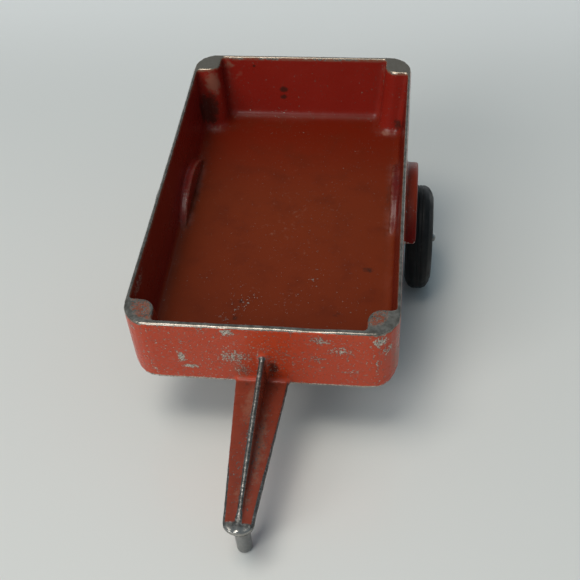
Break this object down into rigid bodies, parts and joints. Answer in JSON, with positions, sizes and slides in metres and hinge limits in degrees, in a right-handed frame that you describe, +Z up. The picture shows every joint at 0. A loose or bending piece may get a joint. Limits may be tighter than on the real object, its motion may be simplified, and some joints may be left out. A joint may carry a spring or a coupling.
{
  "type": "two-wheel toy farm trailer",
  "caption": "Open rectangular cast tub on disc wheels with rubber tyres, and a ribbed drawbar in front that ends in a downward hitch pin.",
  "frame": {"origin": "middle of the underside of the overall box, on the surface the trailer stands on", "axes": "+Y towards the tub's tail, away from the drawbar; +Z up; +X to the trailer's right seen from behind its drawbar"},
  "size_m": [0.122, 0.217, 0.0802],
  "materials": {
    "casting": "worn red enamel on cast light alloy",
    "axle_steel": "plain drawn steel",
    "wheel_steel": "dull zinc plate",
    "tyre_rubber": "moulded black rubber"
  },
  "bodies": {
    "trailer": {"body_casting": "casting"},
    "axle_set": {"axle": "axle_steel", "washer_left": "wheel_steel", "washer_right": "wheel_steel", "retaining_ring_left": "axle_steel", "retaining_ring_right": "axle_steel"},
    "wheel_left": {"tyre_left": "tyre_rubber", "wheel_disc_outer_left": "wheel_steel", "wheel_disc_inner_left": "wheel_steel", "wheel_hub_left": "axle_steel"},
    "wheel_right": {"tyre_right": "tyre_rubber", "wheel_disc_outer_right": "wheel_steel", "wheel_disc_inner_right": "wheel_steel", "wheel_hub_right": "axle_steel"}
  },
  "joints": [
    {"name": "axle_spin", "type": "hinge", "parent": "trailer", "child": "axle_set", "pos_m": [0, 0.05098, 0.0221], "axis": [1, 0, 0], "continuous": true},
    {"name": "wheel_spin_left", "type": "hinge", "parent": "trailer", "child": "wheel_left", "pos_m": [-0.0538, 0.05098, 0.0221], "axis": [1, 0, 0], "continuous": true},
    {"name": "wheel_spin_right", "type": "hinge", "parent": "trailer", "child": "wheel_right", "pos_m": [0.0538, 0.05098, 0.0221], "axis": [1, 0, 0], "continuous": true}
  ]
}
